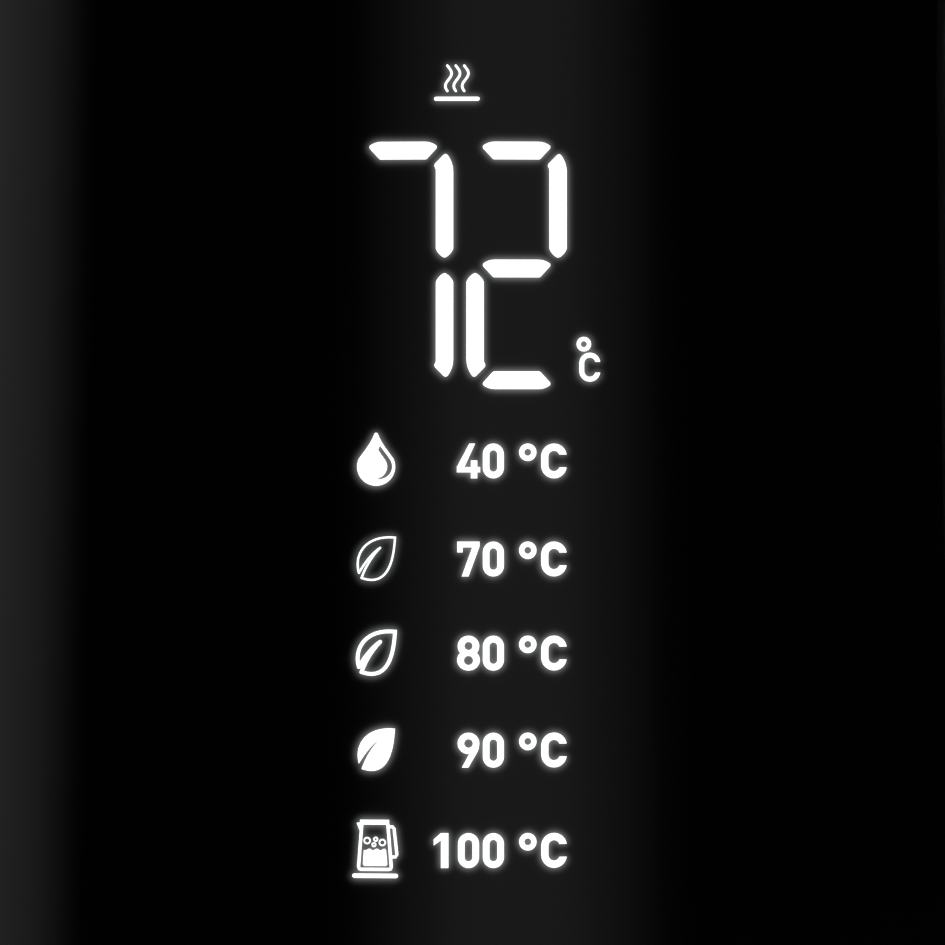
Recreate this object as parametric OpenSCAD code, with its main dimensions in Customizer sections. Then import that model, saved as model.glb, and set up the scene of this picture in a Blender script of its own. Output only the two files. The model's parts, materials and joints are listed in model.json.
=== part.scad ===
// Electric gooseneck kettle with a tinted one-piece sleeve and a light-up display,
// standing on a round power base. +Z is up, -Y is the display side, -X is the spout
// side, and the origin is on the kettle's axis, on the surface that the base stands on.

/* [Power base] */
// Outer radius of the power base
base_r = 74; // [72:0.5:78]
// Height of the base's rim over the table
base_h = 24; // [23.5:0.5:26]
// Radius of the recess that the kettle stands in
recess_r = 68; // [67.5:0.5:69]
// Radius of the hole that the mains lead passes through
cord_hole_r = 3.6; // [3.2:0.1:4]

/* [Body] */
// Outer radius of the sleeve at its lower edge
sleeve_foot_r = 66; // [65.5:0.1:66.5]
// Outer radius of the sleeve at its upper edge
sleeve_top_r = 62.7; // [62:0.1:63.5]
// Wall thickness of the tinted sleeve
sleeve_t = 2.4; // [2:0.1:2.6]
// Height of the sleeve's upper edge over the table
sleeve_top = 184; // [182:0.5:188]
// Outer radius of the steel water vessel
vessel_r = 52; // [50:0.5:52]
// Sheet thickness of the vessel
vessel_t = 0.8; // [0.6:0.1:1]

/* [Spout] */
// Outer radius of the spout at its root
spout_root_r = 11.5; // [10.5:0.1:12]
// Outer radius of the spout at its tip
spout_tip_r = 6; // [5.6:0.1:6.4]
// Wall thickness of the spout
spout_t = 1; // [0.8:0.1:1.1]
// Height of the spout's root over the table
spout_z = 74; // [72:0.5:78]

/* [Handle] */
// Thickness of the grip, measured away from the body
grip_depth = 15; // [13:0.5:16]
// Width of the grip, measured round the body
grip_width = 22; // [20:0.5:24]

/* [Lid] */
// Radius of the filling opening
mouth_r = 46; // [45.5:0.1:46.5]
// Radius of the lid's slab
lid_r = 61.2; // [60:0.1:62]
// Radius of the knob
knob_r = 15; // [13:0.5:17]

/* [Display] */
// Height of the display's middle over the table
display_z = 106; // [104:0.5:108]
// Distance from one preset row to the next; the lit marks grow and shrink with it
row_pitch = 10.5; // [10:0.1:11]

/* [Hidden] */
$fn = 96;

// Power base
foot_h = 1.5;          // how far the rubber ring stands out of the base plate
plate_top = 4;
base_wall = 2.4;
recess_z = base_h - 4; // floor of the recess
hub_hole_r = 15;
tower_r = 13.5;
tower_top = 37;
slot_floor = 22;
slots = [[0, 2.6], [4.3, 6.3], [8.3, 10.3]];    // inner and outer radius of each contact slot
blades = [[0, 2.0], [4.9, 5.7], [8.9, 9.7]];    // the same for the kettle's contact blades
gland_z = 10.4;
base_screw_ring = 50;
connector_screw_ring = 19.5;

// Body
kettle_z = recess_z + 0.3;
sleeve_z = base_h + 4;
sleeve_slope = (sleeve_foot_r - sleeve_top_r) / (sleeve_top - sleeve_z);
cover_floor = 2.2;
cover_hole_r = 17.6;
socket_r = 17.2;
flange_z = 30.3;
vessel_floor = 54;
vessel_rim = sleeve_top - 6;
collar_top = sleeve_top + 3;
heater_plate_t = 3.8;
heater_r = 34;
heater_tube_r = 4;
board_z = 26;
board_t = 1.6;
cover_screw_ring = 46;
pillar_low = 37.4;
panel_half_w = 16;     // half width of the display stack
panel_back = -55.3;    // rear face of the display board
panel_low = display_z - 48;
panel_high = display_z + 50;

// Lid
lid_gap = 0.4;
lid_low = collar_top + lid_gap;
lid_high = lid_low + 6.6;
pan_r = 44.6;
pan_low = 172;

// Handle
handle_top_z = 164;
handle_low_z = 87;
handle_x = 68;         // where the grip meets its two mounts
parting = 0.15;

// Radius of the sleeve's outer face at height z.
function sleeve_r(z) = sleeve_foot_r - (z - sleeve_z) * sleeve_slope;

// Points on an arc, on a cubic curve and on an ellipse.
function arc(c, r, a0, a1, n = 10) =
    [for (i = [0:n]) let(a = a0 + (a1 - a0) * i / n) [c[0] + r * cos(a), c[1] + r * sin(a)]];
function curve(a, b, c, d, n = 10) =
    [for (i = [0:n]) let(t = i / n, s = 1 - t)
        s * s * s * a + 3 * s * s * t * b + 3 * s * t * t * c + t * t * t * d];
function oval(rx, ry, n = 32) = [for (i = [0:n - 1]) [rx * cos(360 * i / n), ry * sin(360 * i / n)]];

// Points shifted, points mirrored left to right, and a list without its first entry.
function moved(p, d) = [for (q = p) q + d];
function mirrored(p) = [for (i = [len(p) - 1:-1:0]) [-p[i][0], p[i][1]]];
function rest_of(p) = [for (i = [1:len(p) - 1]) p[i]];

// Unit direction of a path at point i, and its left-hand normal.
function along(p, i) =
    let(d = p[min(i + 1, len(p) - 1)] - p[max(i - 1, 0)]) d / norm(d);
function left_of(p, i) = let(d = along(p, i)) [-d[1], d[0]];

// Outline of a line of width w drawn along a path.
function line_outline(p, w) = concat(
    [for (i = [0:len(p) - 1]) p[i] + left_of(p, i) * w / 2],
    [for (i = [len(p) - 1:-1:0]) p[i] - left_of(p, i) * w / 2]);

// Length of a path up to point i.
function run_to(p, i) = i == 0 ? 0 : run_to(p, i - 1) + norm(p[i] - p[i - 1]);

module tube(r_out, r_in, h) {
    difference() {
        cylinder(r = r_out, h = h);
        translate([0, 0, -1]) cylinder(r = r_in, h = h + 2);
    }
}

module along_x(x, z, y = 0) {
    translate([x, y, z]) rotate([0, 90, 0]) children();
}

module ring_of(count, radius, start = 0) {
    for (i = [0:count - 1]) rotate([0, 0, start + 360 / count * i]) translate([radius, 0, 0]) children();
}

// A layer that follows the sleeve, between two offsets from its outer face.
module sleeve_layer(low, high, inner, outer) {
    rotate_extrude($fn = 200)
        polygon([[sleeve_r(low) + inner, low], [sleeve_r(low) + outer, low],
                 [sleeve_r(high) + outer, high], [sleeve_r(high) + inner, high]]);
}

// Everything inside an offset from the sleeve's outer face.
module sleeve_core(offset_r) {
    rotate_extrude($fn = 200)
        polygon([[0, 10], [sleeve_r(10) + offset_r, 10],
                 [sleeve_r(230) + offset_r, 230], [0, 230]]);
}

// ---------------------------------------------------------------- power base

module foot_ring() {
    color("#1b1b1c") tube(recess_r, recess_r - 9, plate_top - 1.5);
}

module base_plate() {
    color("#232325") difference() {
        translate([0, 0, foot_h]) cylinder(r = base_r - base_wall - 0.15, h = plate_top - foot_h);
        translate([0, 0, -1]) difference() {
            cylinder(r = recess_r + 0.1, h = plate_top - 0.5);
            cylinder(r = recess_r - 9.1, h = plate_top);
        }
        ring_of(3, base_screw_ring, 30) {
            cylinder(r = 1.45, h = 3 * plate_top, center = true, $fn = 32);
            cylinder(r = 2.8, h = foot_h + 1.2, $fn = 32);
        }
    }
}

module base_housing() {
    outer = base_r;
    color("#101012") difference() {
        union() {
            rotate_extrude($fn = 200) polygon(concat(
                [[outer - base_wall, foot_h + 0.3], [outer, foot_h + 0.3]],
                arc([outer - 5, base_h - 6], 5, 0, 72, 8),
                arc([recess_r + 0.6, base_h - 0.9], 0.6, 80, 180, 4),
                [[recess_r, recess_z], [hub_hole_r, recess_z], [hub_hole_r, recess_z - base_wall]],
                arc([outer - base_wall - 2, recess_z - base_wall - 2], 2, 90, 0, 5)));
            ring_of(3, base_screw_ring, 30) translate([0, 0, plate_top + 0.1])
                tube(4, 1.4, recess_z - base_wall - plate_top);
            ring_of(3, connector_screw_ring, 30) translate([0, 0, recess_z - base_wall - 2])
                tube(2.6, 1, 2.1);
        }
        rotate([-90, 0, 0]) translate([0, -gland_z, 60]) cylinder(r = cord_hole_r + 1.7, h = 20, $fn = 48);
    }
}

module base_connector() {
    color("#2b2b2e") difference() {
        union() {
            translate([0, 0, recess_z - base_wall - 4.6]) cylinder(r = 24, h = 2.4);
            translate([0, 0, recess_z - base_wall - 2.3]) cylinder(r = tower_r, h = tower_top - recess_z + base_wall + 1.3);
            rotate_extrude() polygon(concat(
                [[0, tower_top - 1.1], [tower_r, tower_top - 1.1]], [[tower_r - 1, tower_top], [0, tower_top]]));
        }
        for (s = slots) translate([0, 0, slot_floor]) difference() {
            cylinder(r = s[1], h = 30);
            if (s[0] > 0) translate([0, 0, -1]) cylinder(r = s[0], h = 32);
        }
        ring_of(3, connector_screw_ring, 30) cylinder(r = 1.5, h = 60, $fn = 24);
    }
}

module base_contacts() {
    color("#c49a48") for (s = slots) translate([0, 0, slot_floor]) difference() {
        cylinder(r = s[1] - 0.2, h = 1.4);
        if (s[0] > 0) translate([0, 0, -1]) cylinder(r = s[0] + 0.2, h = 4);
    }
}

module pan_screw(r, head_r, length, head_h = 1.6) {
    cylinder(r = r, h = length, $fn = 32);
    translate([0, 0, -head_h]) difference() {
        cylinder(r = head_r, h = head_h, $fn = 32);
        translate([0, 0, -0.1]) for (a = [0, 90]) rotate([0, 0, a]) cube([head_r, 0.6, 1.6], center = true);
    }
}

module base_screws() {
    color("#a7a9ac") ring_of(3, base_screw_ring, 30) translate([0, 0, foot_h + 1.15]) pan_screw(1.3, 2.4, 9.5, 0.9);
}

module connector_screws() {
    color("#a7a9ac") ring_of(3, connector_screw_ring, 30) translate([0, 0, recess_z - base_wall - 4.7])
        pan_screw(0.9, 1.9, 4.5, 1.2);
}

module cord_gland() {
    color("#141415") rotate([-90, 0, 0]) translate([0, -gland_z, 0]) difference() {
        union() {
            translate([0, 0, base_r - 5.1]) cylinder(r = cord_hole_r + 2.6, h = 2.2, $fn = 48);
            translate([0, 0, base_r - 3]) cylinder(r = cord_hole_r + 1.6, h = 4, $fn = 48);
            translate([0, 0, base_r + 0.35]) cylinder(r = cord_hole_r + 2.6, h = 2.2, $fn = 48);
        }
        translate([0, 0, base_r - 10]) cylinder(r = cord_hole_r, h = 20, $fn = 48);
    }
}

module terminal_block() {
    color("#e8e4d8") translate([-13, 28, plate_top + 0.3]) difference() {
        cube([26, 9, 8]);
        for (i = [0:2]) translate([4.7 + 8.3 * i, 4.5, 3]) cylinder(r = 2, h = 8, $fn = 24);
    }
}

// ------------------------------------------------- connector half in the kettle

module socket_housing() {
    color("#2b2b2e") {
        rotate_extrude() polygon([
            [tower_r + 0.8, kettle_z + 0.7], [socket_r, kettle_z + 0.7], [socket_r, flange_z], [23, flange_z],
            [23, flange_z + 2.2], [socket_r, flange_z + 2.2], [socket_r, tower_top + 3], [0, tower_top + 3],
            [0, tower_top + 0.6], [tower_r + 0.8, tower_top + 0.6]]);
    }
}

module socket_contacts() {
    color("#c49a48") for (b = blades) translate([0, 0, slot_floor + 2]) difference() {
        cylinder(r = b[1], h = tower_top + 0.6 - slot_floor - 2);
        if (b[0] > 0) translate([0, 0, -1]) cylinder(r = b[0], h = 40);
    }
}

// ---------------------------------------------------------------- kettle shell

module board_posts(z) {
    for (x = [-30, 30]) translate([x, -40, z]) children();
}

module bottom_cover() {
    inner = sleeve_foot_r - sleeve_t - 0.35;
    color("#161618") difference() {
        union() {
            rotate_extrude($fn = 200) polygon(concat(
                [[cover_hole_r, kettle_z], [sleeve_foot_r - 3.4, kettle_z]],
                arc([sleeve_foot_r - 3, kettle_z + 3], 3, -80, 0, 6),
                [[sleeve_foot_r, sleeve_z - 0.1], [inner, sleeve_z - 0.1], [inner - 0.1, sleeve_z + 5],
                 [inner - 2, sleeve_z + 5], [inner - 2, kettle_z + cover_floor + 1.5],
                 [inner - 3.5, kettle_z + cover_floor], [cover_hole_r + 2, kettle_z + cover_floor],
                 [cover_hole_r + 2, flange_z - 0.3], [cover_hole_r, flange_z - 0.3]]));
            board_posts(kettle_z + 1) cylinder(r = 3.2, h = board_z - kettle_z - 1.05, $fn = 32);
            ring_of(3, cover_screw_ring, 90) translate([0, 0, kettle_z + 1])
                cylinder(r = 4, h = pillar_low - kettle_z - 1.05, $fn = 32);
        }
        board_posts(kettle_z + 1.6) cylinder(r = 1.2, h = 10, $fn = 24);
        ring_of(3, cover_screw_ring, 90) translate([0, 0, kettle_z - 1]) {
            cylinder(r = 3, h = 6.15, $fn = 32);
            cylinder(r = 1.8, h = 30, $fn = 24);
        }
    }
}

module cover_screws() {
    color("#a7a9ac") ring_of(3, cover_screw_ring, 90) translate([0, 0, kettle_z + 5.1]) pan_screw(1.7, 2.8, 19, 1.8);
}

module outer_sleeve() {
    color("#08080a") difference() {
        sleeve_layer(sleeve_z, sleeve_top, -sleeve_t, 0);
        along_x(-80, spout_z) cylinder(r = spout_root_r + 1.7, h = 40);
        for (z = [handle_top_z, handle_low_z]) along_x(40, z) cylinder(r = 2.3, h = 42, $fn = 32);
    }
}

module strainer_holes() {
    along_x(-vessel_r - 5, spout_z) {
        cylinder(r = 1.3, h = 10, $fn = 24);
        ring_of(6, 3.9) cylinder(r = 1.3, h = 10, $fn = 24);
        ring_of(12, 7.8) cylinder(r = 1.3, h = 10, $fn = 24);
    }
}

// The steel vessel, with a drilled strainer where the spout starts.
module vessel() {
    color("#b9bcc0") difference() {
        rotate_extrude($fn = 160) polygon(concat(
            [[0, vessel_floor]],
            arc([vessel_r - 4, vessel_floor + 4], 4, -90, 0, 6),
            [[vessel_r, vessel_rim - 1], [vessel_r + 1, vessel_rim], [vessel_r + 5.2, vessel_rim],
             [vessel_r + 5.2, vessel_rim + vessel_t], [vessel_r + 0.6, vessel_rim + vessel_t],
             [vessel_r - vessel_t, vessel_rim - 0.6]],
            arc([vessel_r - 4, vessel_floor + 4], 4 - vessel_t, 0, -90, 6),
            [[0, vessel_floor + vessel_t]]));
        strainer_holes();
        translate([24, 0, vessel_floor - 1]) cylinder(r = 3.1, h = 4, $fn = 32);
    }
}

module vessel_seal() {
    color("#d7d7d3") translate([0, 0, vessel_rim + vessel_t + 0.05]) tube(vessel_r + 4.8, vessel_r + 1.4, 1.5);
}

module rim_collar() {
    spigot = sleeve_top_r - sleeve_t - 0.2;
    color("#b9bcc0") rotate_extrude($fn = 200) polygon(concat(
        [[mouth_r, vessel_rim + 2.5]],
        arc([mouth_r + 1.2, collar_top - 1.2], 1.2, 180, 90, 4),
        arc([sleeve_top_r - 1, collar_top - 1], 1, 90, 0, 4),
        [[sleeve_top_r, sleeve_top + 0.1], [spigot, sleeve_top + 0.1], [spigot, vessel_rim + 2.5]]));
}

// Threaded pillars under the vessel, which the bottom cover's screws pull on.
module vessel_pillars() {
    color("#a7a9ac") ring_of(3, cover_screw_ring, 90) translate([0, 0, pillar_low])
        tube(3.6, 1.75, vessel_floor - pillar_low - 0.02);
}

// ------------------------------------------------------------- heating and control

module heater_plate() {
    color("#9a9da0") difference() {
        translate([0, 0, vessel_floor - heater_plate_t - 0.05]) cylinder(r = 42, h = heater_plate_t);
        translate([24, 0, vessel_floor - 10]) cylinder(r = 3.1, h = 20, $fn = 32);
    }
}

module heating_element() {
    z = vessel_floor - heater_plate_t - heater_tube_r - 0.1;
    color("#7d8083") translate([0, 0, z]) rotate([0, 0, 120])
        rotate_extrude(angle = 300) translate([heater_r, 0]) circle(r = heater_tube_r, $fn = 48);
}

module heater_terminals() {
    z = vessel_floor - heater_plate_t - heater_tube_r - 0.1;
    color("#c49a48") for (a = [60, 120]) rotate([0, 0, a]) translate([heater_r, 0, z])
        rotate([a == 60 ? -90 : 90, 0, 0]) translate([0, 0, 0.05]) cylinder(r = 1.6, h = 9, $fn = 24);
}

module dry_boil_cutouts() {
    color("#d9d4c6") for (a = [200, 250]) rotate([0, 0, a]) translate([17, 0, vessel_floor - heater_plate_t - 6.1])
        cylinder(r = 6, h = 6, $fn = 48);
}

module temperature_probe() {
    color("#c9ccd0") translate([24, 0, 0]) {
        translate([0, 0, vessel_floor - 9]) cylinder(r = 3, h = 15, $fn = 32);
        translate([0, 0, vessel_floor + 6]) sphere(r = 3, $fn = 32);
        translate([0, 0, vessel_floor + vessel_t + 0.05]) cylinder(r = 4.4, h = 1, $fn = 32);
    }
}

module control_board() {
    color("#1f5c34") translate([0, 0, board_z]) difference() {
        intersection() {
            cylinder(r = 59, h = board_t);
            translate([-35, -60, -1]) cube([70, 33, 4]);
        }
        translate([0, 0, -1]) cylinder(r = 25, h = 4);
        board_posts(-1) cylinder(r = 1.5, h = 4, $fn = 24);
    }
}

module power_relay() {
    color("#1c4f9c") translate([9, -50, board_z + board_t + 0.05]) cube([15, 12, 11]);
}

module board_parts() {
    top = board_z + board_t + 0.05;
    color("#c8a13a") translate([-22, -46, top]) cube([13, 9, 10]);
    color("#26262a") translate([-27, -31.5, top]) cylinder(r = 3.5, h = 11, $fn = 32);
    color("#26262a") translate([-6, -34, top]) cube([9, 6, 1.5]);
    color("#e8e4d8") translate([-7, -57.8, top]) cube([14, 3, 4]);
}

module board_screws() {
    color("#a7a9ac") board_posts(board_z + board_t + 0.1) mirror([0, 0, 1]) pan_screw(1.1, 2.6, 5.6);
}

// --------------------------------------------------------------------- display

// Outline of a level bar whose long side is on top.
bar_right = concat(
    arc([2.55, -0.72], 0.3, -90, -45, 3), arc([3.62, 0.4], 0.27, -45, 62, 5),
    curve([3.747, 0.638], [3.5, 0.8], [3.1, 1.02], [2.5, 1.02], 4));
bar_outline = concat(bar_right, mirrored(bar_right));

// Outline of an upright bar: its mitred outer end is on top and its outer side is on the right.
upright_outline = concat(
    curve([1, -4.95], [0.9, -5.35], [0.3, -5.98], [0, -5.98], 5),
    rest_of(curve([0, -5.98], [-0.3, -5.98], [-0.9, -5.35], [-1, -4.95], 5)),
    curve([-1, 4.15], [-1.05, 4.4], [-1.32, 4.6], [-1.1, 4.84], 3),
    curve([-0.14, 5.82], [0, 5.98], [0.25, 6.02], [0.42, 5.74], 4),
    rest_of(curve([0.42, 5.74], [0.75, 5.25], [0.98, 4.7], [1, 4.0], 4)));

upright_x = 4.78;
upright_dz = 6.88;

// One bar of a seven-bar digit, named a to g in the usual order.
module digit_bar(name) {
    if (name == "a") translate([0, 13.23]) polygon(bar_outline);
    if (name == "g") translate([0, -0.36]) polygon(bar_outline);
    if (name == "d") translate([0, -13.23]) mirror([0, 1]) polygon(bar_outline);
    if (name == "b") translate([upright_x, upright_dz]) polygon(upright_outline);
    if (name == "c") translate([upright_x, -upright_dz]) mirror([0, 1]) polygon(upright_outline);
    if (name == "f") translate([-upright_x, upright_dz]) mirror([1, 0]) polygon(upright_outline);
    if (name == "e") translate([-upright_x, -upright_dz]) mirror([1, 0]) mirror([0, 1]) polygon(upright_outline);
}

// The lit marks are drawn in units in which the preset rows are 11.17 apart.
drawn_pitch = 11.17;
mark_scale = row_pitch / drawn_pitch;
digit_z = 23.85;          // middle of the digits over the display's middle
tens_x = -8;
ones_x = 5.08;
lit = [[tens_x, "abc"], [ones_x, "abged"]];

module lit_bars() {
    for (d = lit) translate([d[0], digit_z]) for (bar = d[1]) digit_bar(bar);
}

// Small numerals, each centred on its own middle.
numeral_h = 4;
h2 = numeral_h / 2;

module slot_ring(w, h, stroke) {
    r = w / 2;
    difference() {
        polygon(concat(arc([0, h / 2 - r], r, 0, 180, 14), arc([0, r - h / 2], r, 180, 360, 14)));
        polygon(concat(arc([0, h / 2 - r], r - stroke, 0, 180, 12), arc([0, r - h / 2], r - stroke, 180, 360, 12)));
    }
}

// Two round holes in a figure made of ovals.
module pierced(holes) {
    difference() {
        union() children();
        for (q = holes) translate([0, q[0]]) circle(r = q[1], $fn = 32);
    }
}

module numeral(n) {
    if (n == "0") slot_ring(2.42, numeral_h, 0.76);
    if (n == "1") polygon([[-0.43, -h2], [0.43, -h2], [0.43, h2], [-0.43, h2], [-1.26, h2 - 0.72],
                           [-1.26, h2 - 1.42], [-0.43, h2 - 0.82]]);
    if (n == "4") {
        polygon([[0.1, h2], [-1.34, h2 - 2.7], [-1.34, h2 - 3.31], [1.34, h2 - 3.31],
                 [1.34, h2 - 2.7], [-0.47, h2 - 2.7], [0.76, h2]]);
        translate([0.27, -h2]) square([0.74, 2.06]);
    }
    if (n == "7") polygon([[-1.29, h2], [1.27, h2], [1.27, h2 - 0.55], [0, -h2], [-0.78, -h2],
                           [0.43, h2 - 0.66], [-0.68, h2 - 0.66], [-0.68, h2 - 1.24], [-1.29, h2 - 1.24]]);
    if (n == "8") pierced([[0.82, 0.47], [-0.84, 0.53]]) {
        translate([0, h2 - 1.2]) polygon(oval(1.24, 1.2, 40));
        translate([0, 1.2 - h2]) polygon(oval(1.31, 1.2, 40));
    }
    if (n == "9") pierced([[0.77, 0.5]]) {
        translate([0, h2 - 1.22]) polygon(oval(1.25, 1.22, 40));
        polygon([[1.21, 0.5], [1.16, 0.12], [1.02, -0.2], [-0.02, -h2], [-0.76, -h2], [0.22, -0.2], [0.2, 0.4]]);
    }
}

module degree_ring(r, stroke) {
    difference() {
        circle(r = r, $fn = 40);
        circle(r = r - stroke, $fn = 32);
    }
}

// Letter C: a slotted ring, open on the right over a given gap.
module letter_c(w, h, stroke, gap) {
    difference() {
        slot_ring(w, h, stroke);
        translate([0, -gap / 2]) square([w, gap]);
    }
}

preset_rows = ["40", "70", "80", "90", "00"];
first_row_z = 1.33;
row_drops = [0, 11.28, 22.1, 33.25, 44.78];   // preset rows under the first one
icon_x = -11.1;

module labels() {
    for (i = [0:4]) translate([0, first_row_z - row_drops[i]]) {
        for (k = [0, 1]) translate([-0.46 + 2.86 * k, 0]) numeral(preset_rows[i][k]);
        if (i == 4) translate([-3.2, 0]) numeral("1");
        translate([6.36, 1.0]) degree_ring(1, 0.6);
        translate([9.38, 0]) letter_c(2.94, numeral_h, 0.82, 1.48);
    }
    translate([12.83, 14.79]) degree_ring(0.84, 0.49);
    translate([13.52, 12.14]) letter_c(2.42, 3.34, 0.56, 1.24);
}

// A line of width w with its ends rounded.
module stroke(path, w) {
    polygon(line_outline(path, w));
    for (end = [path[0], path[len(path) - 1]]) translate(end) circle(r = w / 2 - 0.005, $fn = 20);
}

module level_bar(half, r) {
    polygon(concat(arc([r - half, 0], r, 90, 270, 8), arc([half - r, 0], r, -90, 90, 8)));
}

// Three rising waves over a line.
module warm_icon() {
    for (i = [-1:1]) translate([0.97 * i, 0])
        stroke([for (t = [0:0.05:1]) [0.36 * sin(360 * t - 20), 1.46 - 2.92 * t]], 0.28);
    translate([0, -2.36]) level_bar(2.63, 0.23);
}

module drop_icon() {
    side = concat(arc([0, 0], 2.2, -90, 25, 12), curve([1.99, 0.93], [1.45, 1.7], [0.58, 2.7], [0.22, 3.72], 6));
    shine = concat(curve([0.45, 2.44], [1.05, 1.5], [1.86, 0.8], [1.86, 0.05], 8),
                   rest_of(curve([1.86, 0.05], [1.86, -0.82], [1.13, -1.5], [0.2, -1.44], 8)),
                   curve([0.24, -1.3], [0.85, -1.2], [1.28, -0.6], [1.28, 0.05], 6),
                   rest_of(curve([1.28, 0.05], [1.28, 0.7], [0.55, 1.3], [0.22, 1.98], 6)));
    translate([0, -0.86]) difference() {
        polygon(concat(side, arc([0, 3.7], 0.22, 10, 170, 4), mirrored(side)));
        polygon(shine);
    }
}

// A leaf with its tip up to the right, split by its midrib.
leaf_tip = [2.18, 2.46];
rib_end = [0.46, 1.28];
notch = [[-1.98, -1.6], [-1.68, -2.2]];
leaf_upper = curve(notch[0], [-2.6, 0.4], [-1.3, 2.8], leaf_tip, 16);
leaf_lower = curve(leaf_tip, [2.05, 0.3], [1.6, -3.35], notch[1], 16);
rib_lower = curve(notch[1], [-1.3, -1.1], [-0.6, 0.2], rib_end, 10);
rib_upper = curve(rib_end, [-0.4, 0.7], [-1.3, -0.4], notch[0], 10);

module leaf_icon(w) {
    if (w == 0)
        polygon(concat(leaf_upper, rest_of(leaf_lower), rest_of(rib_lower), [for (i = [1:9]) rib_upper[i]]));
    if (w > 0) {
        for (line = [leaf_upper, leaf_lower, rib_lower, rib_upper]) polygon(line_outline(line, w));
        for (end = [rib_end, notch[0], notch[1]]) translate(end) circle(r = w / 2 + 0.01, $fn = 20);
        translate(leaf_tip - [w * 0.55, w * 0.5]) square([w * 1.05, w * 0.99]);
    }
}

// A jug on its stand, half full and boiling.
module jug_icon() {
    polygon(line_outline([[-1.64, 2.9], [-2.01, -2.0], [-1.93, -2.25], [-1.7, -2.3], [1.45, -2.3],
                          [1.68, -2.25], [1.76, -2.0], [1.36, 2.9]], 0.36));
    translate([-1.84, 2.84]) square([3.35, 0.56]);
    polygon([[-1.7, 3.1], [-2.23, 3.04], [-1.76, 1.83], [-1.5, 2.2]]);
    polygon(line_outline([[1.5, 2.6], [1.92, 2.6], [2.08, 2.4], [2.41, -0.62], [2.25, -0.86], [1.7, -0.86]], 0.34));
    polygon(concat([[-1.51, -1.72], [-1.36, -1.9], [1.14, -1.9], [1.3, -1.72], [1.16, -0.1]],
                   [for (i = [1:19]) [1.16 - 0.129 * i, -0.02 + 0.1 * sin(54 * i)]], [[-1.41, -0.1]]));
    for (b = [[-1.02, 1.0, 0.42], [0.73, 0.79, 0.42], [-0.03, 1.16, 0.29], [-0.24, 0.53, 0.28]])
        translate([b[0], b[1]]) degree_ring(b[2], 0.17);
    translate([-0.1, -3.04]) level_bar(2.64, 0.25);
}

leaf_lines = [0.23, 0.42, 0];

module icons() {
    translate([-1.8, 45.4]) warm_icon();
    translate([icon_x, first_row_z + 0.2]) drop_icon();
    for (i = [0:2]) translate([icon_x, first_row_z - row_drops[i + 1]]) leaf_icon(leaf_lines[i]);
    translate([icon_x, first_row_z - row_drops[4] + 0.1]) jug_icon();
}

// Flat artwork, set upright on the display's middle and carried forward through the sleeve.
module onto_front() {
    translate([0, -50, display_z]) rotate([90, 0, 0]) linear_extrude(height = 20) scale(mark_scale) children();
}

// Artwork as a thin layer on the sleeve's face.
module on_sleeve() {
    intersection() {
        onto_front() children();
        sleeve_layer(panel_low - 2, panel_high + 2, 0.02, 0.14);
    }
}

module display_digits() { color("#ffffff") on_sleeve() lit_bars(); }
module display_labels() { color("#ffffff") on_sleeve() labels(); }
module display_icons() { color("#ffffff") on_sleeve() icons(); }

module panel_slab(y_low, y_high, half_w, low, high) {
    translate([-half_w, y_low, low]) cube([2 * half_w, y_high - y_low, high - low]);
}

module display_board() {
    color("#16351f") panel_slab(panel_back - 1.2, panel_back, panel_half_w, panel_low, panel_high);
}

// Lamp places: one for each bar, one for each icon and one for each numeral pair.
bar_spots = [[0, 13.2], [0, -0.35], [0, -13.2], [upright_x, upright_dz], [upright_x, -upright_dz],
             [-upright_x, upright_dz], [-upright_x, -upright_dz]];
window_spots = concat([[-1.8, 45]], [for (i = [0:4]) [icon_x, first_row_z - drawn_pitch * i]],
                      [for (i = [0:4]) [3, first_row_z - drawn_pitch * i]], [[13.4, 13.4]]);

module display_leds() {
    color("#f4e9b0") for (p = concat([for (x = [tens_x, ones_x]) for (b = bar_spots) [x + b[0], digit_z + b[1]]],
                                      window_spots))
        translate([p[0] * mark_scale - 0.7, panel_back - 2.05, display_z + p[1] * mark_scale - 0.4])
            cube([1.4, 0.8, 0.8]);
}

// The white light box behind the sleeve, with a well for each bar, icon and numeral row.
module led_reflector() {
    color("#ecece8") difference() {
        intersection() {
            panel_slab(-64, panel_back - 1.25, panel_half_w - 0.6, panel_low + 1, panel_high - 1);
            sleeve_core(-sleeve_t - 0.95);
        }
        onto_front() {
            for (x = [tens_x, ones_x]) translate([x, digit_z]) for (bar = "abcdefg") digit_bar(bar);
            translate([-1.8, 44.6]) square([5.6, 5.6], center = true);
            translate([13.3, 13.4]) square([3.4, 5.4], center = true);
            for (i = [0:4]) translate([0, first_row_z - drawn_pitch * i]) {
                translate([icon_x, 0]) square([5.4, 7.4], center = true);
                translate([3.2, 0]) square([15.8, 5], center = true);
            }
        }
    }
}

module film(inner, outer) {
    intersection() {
        panel_slab(-68, -50, panel_half_w, panel_low, panel_high);
        sleeve_layer(panel_low - 2, panel_high + 2, -sleeve_t + inner, -sleeve_t + outer);
    }
}

module display_film() { color("#3a3a3e") film(-0.8, -0.45); }
module touch_film() { color("#c98f3c") film(-0.4, -0.1); }

module display_cable() {
    color("#d8d8d8") panel_slab(panel_back - 1.7, panel_back - 1.3, 5, board_z + board_t + 4.2, panel_low + 0.8);
}

// ----------------------------------------------------------------------- spout

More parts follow.
